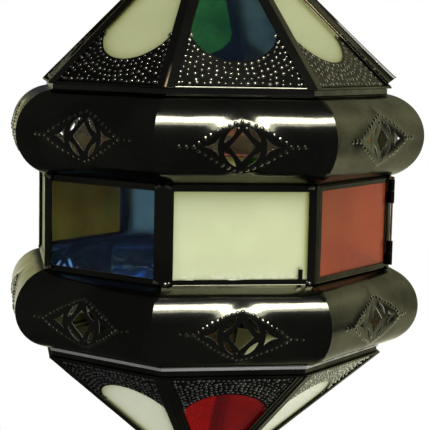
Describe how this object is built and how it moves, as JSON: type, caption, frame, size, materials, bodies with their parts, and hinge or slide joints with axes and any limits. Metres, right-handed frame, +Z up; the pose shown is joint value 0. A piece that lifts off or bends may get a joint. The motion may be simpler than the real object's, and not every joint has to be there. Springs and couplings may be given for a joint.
{
  "type": "hanging lantern",
  "caption": "Eight-sided hanging metal lantern with coloured glass panes, two bulging openwork rolls, a hinged door pane, a pointed roof and base, and a hanging ring.",
  "frame": {"origin": "the hanging point: the top of the hole in the hanging ring, where a hook carries the lantern", "axes": "+Z up along the lantern's axis, front pane of frosted white glass towards -Y, door in the face towards +X -Y"},
  "size_m": [0.2732, 0.2732, 0.4981],
  "materials": {
    "black_metal": "gloss black lacquer over sheet iron, worn to dark bronze at the folds",
    "punched_metal": "black sheet with rows of punched dots, bright on their tops",
    "brass": "dull, darkened",
    "holder_ceramic": "satin white",
    "glass_white": "cream white, frosted and faintly mottled",
    "glass_blue": "clear blue",
    "glass_red": "clear red",
    "glass_green": "clear lime green",
    "glass_amber": "clear amber"
  },
  "bodies": {
    "ring": {"hanging_ring": "black_metal"},
    "lamp": {"roof_glass_1": "glass_blue", "roof_glass_2": "glass_white", "roof_glass_3": "glass_red", "roof_glass_4": "glass_white", "roof_glass_5": "glass_green", "roof_glass_6": "glass_white", "roof_glass_7": "glass_amber", "roof_glass_8": "glass_white", "roof_plate_1": "punched_metal", "roof_plate_2": "punched_metal", "roof_plate_3": "punched_metal", "roof_plate_4": "punched_metal", "roof_plate_5": "punched_metal", "roof_plate_6": "punched_metal", "roof_plate_7": "punched_metal", "roof_plate_8": "punched_metal", "band_glass_1": "glass_white", "band_glass_3": "glass_white", "band_glass_4": "glass_green", "band_glass_5": "glass_white", "band_glass_6": "glass_amber", "band_glass_7": "glass_white", "band_glass_8": "glass_blue", "base_glass_1": "glass_red", "base_glass_2": "glass_white", "base_glass_3": "glass_blue", "base_glass_4": "glass_white", "base_glass_5": "glass_amber", "base_glass_6": "glass_white", "base_glass_7": "glass_green", "base_glass_8": "glass_white", "base_plate_1": "punched_metal", "base_plate_2": "punched_metal", "base_plate_3": "punched_metal", "base_plate_4": "punched_metal", "base_plate_5": "punched_metal", "base_plate_6": "punched_metal", "base_plate_7": "punched_metal", "base_plate_8": "punched_metal", "corner_post_1": "black_metal", "corner_post_2": "black_metal", "corner_post_3": "black_metal", "corner_post_4": "black_metal", "corner_post_5": "black_metal", "corner_post_6": "black_metal", "corner_post_7": "black_metal", "corner_post_8": "black_metal", "upper_roll": "black_metal", "lower_roll": "black_metal", "roof_frame": "black_metal", "base_frame": "black_metal", "crown_dome": "black_metal", "hanging_loop": "black_metal", "bottom_finial": "black_metal", "hinge_pin": "brass", "inlet_nipple": "brass", "lamp_holder": "holder_ceramic"},
    "door": {"door_frame": "black_metal", "door_glass": "glass_red"}
  },
  "joints": [
    {"name": "lamp_swing", "type": "hinge", "parent": "ring", "child": "lamp", "pos_m": [0, 0, -0.03], "axis": [0, 1, 0], "range_deg": [-60, 60]},
    {"name": "door_hinge", "type": "hinge", "parent": "lamp", "child": "door", "pos_m": [0.11739, -0.05133, -0.2783], "axis": [0, 0, 1], "range_deg": [0, 120]}
  ]
}
